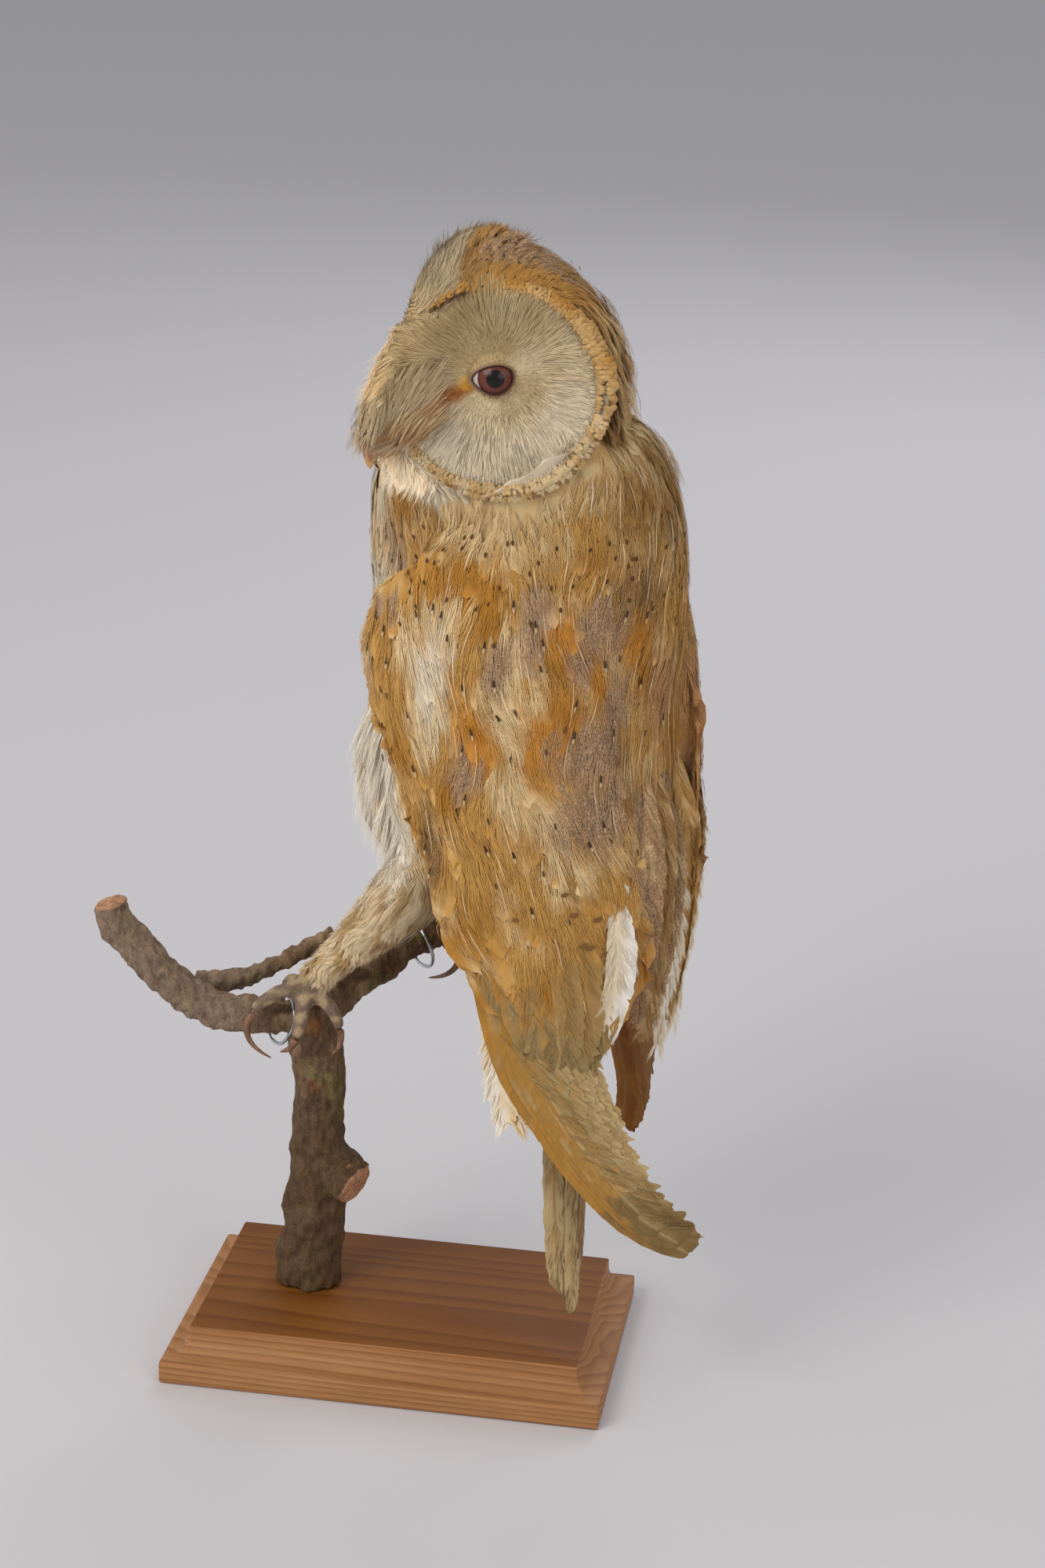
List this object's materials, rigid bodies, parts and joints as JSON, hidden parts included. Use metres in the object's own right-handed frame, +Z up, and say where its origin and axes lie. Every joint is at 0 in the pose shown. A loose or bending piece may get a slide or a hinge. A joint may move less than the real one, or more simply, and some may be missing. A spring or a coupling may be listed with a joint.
{
  "type": "taxidermy barn owl",
  "caption": "Taxidermy barn owl standing upright with its head turned, perched on a bare forked branch on a moulded wooden plinth.",
  "frame": {"origin": "centre of the plinth's underside, where the mount stands on its shelf", "axes": "+Z up; +X along the plinth towards the side where the owl's tail hangs; -Y the side of the owl's left wing"},
  "size_m": [0.2099, 0.1097, 0.3923],
  "materials": {
    "feathers_golden": "matte feathers, golden buff with grey clouding and dark spots",
    "feathers_cream": "matte feathers, off-white to cream",
    "leg_down": "matte short down, dusty cream to grey-brown",
    "claw_horn": "satin horn",
    "bill_horn": "satin horn, pale orange",
    "eye_glass": "polished, dark reddish brown with a dark pupil",
    "bark": "dry grey-brown bark with pale cut ends",
    "pine": "satin orange-brown varnish",
    "wire": "bright drawn wire"
  },
  "bodies": {
    "root": {"bill_lower": "bill_horn", "bill_upper": "bill_horn", "branch_front_arm": "bark", "branch_perch": "bark", "branch_rear_arm": "bark", "branch_side_twig": "bark", "branch_stub": "bark", "branch_trunk": "bark", "claw_left_hind": "claw_horn", "claw_left_inner": "claw_horn", "claw_left_middle": "claw_horn", "claw_left_outer": "claw_horn", "claw_right_hind": "claw_horn", "claw_right_inner": "claw_horn", "claw_right_middle": "claw_horn", "claw_right_outer": "claw_horn", "eye_left": "eye_glass", "eye_right": "eye_glass", "face_ridge": "feathers_cream", "facial_disc_left": "feathers_cream", "facial_disc_right": "feathers_cream", "foot_left": "leg_down", "foot_right": "leg_down", "head": "feathers_golden", "neck": "feathers_golden", "plinth": "pine", "primaries_left": "feathers_golden", "primaries_right": "feathers_golden", "tail": "feathers_cream", "tarsus_left": "leg_down", "tarsus_right": "leg_down", "thigh_left": "leg_down", "thigh_right": "leg_down", "toe_left_hind": "leg_down", "toe_left_inner": "leg_down", "toe_left_middle": "leg_down", "toe_left_outer": "leg_down", "toe_right_hind": "leg_down", "toe_right_inner": "leg_down", "toe_right_middle": "leg_down", "toe_right_outer": "leg_down", "trunk": "feathers_golden", "undertail": "feathers_cream", "wing_left": "feathers_golden", "wing_right": "feathers_golden", "wire_ring_left": "wire", "wire_ring_right": "wire"}
  },
  "joints": []
}
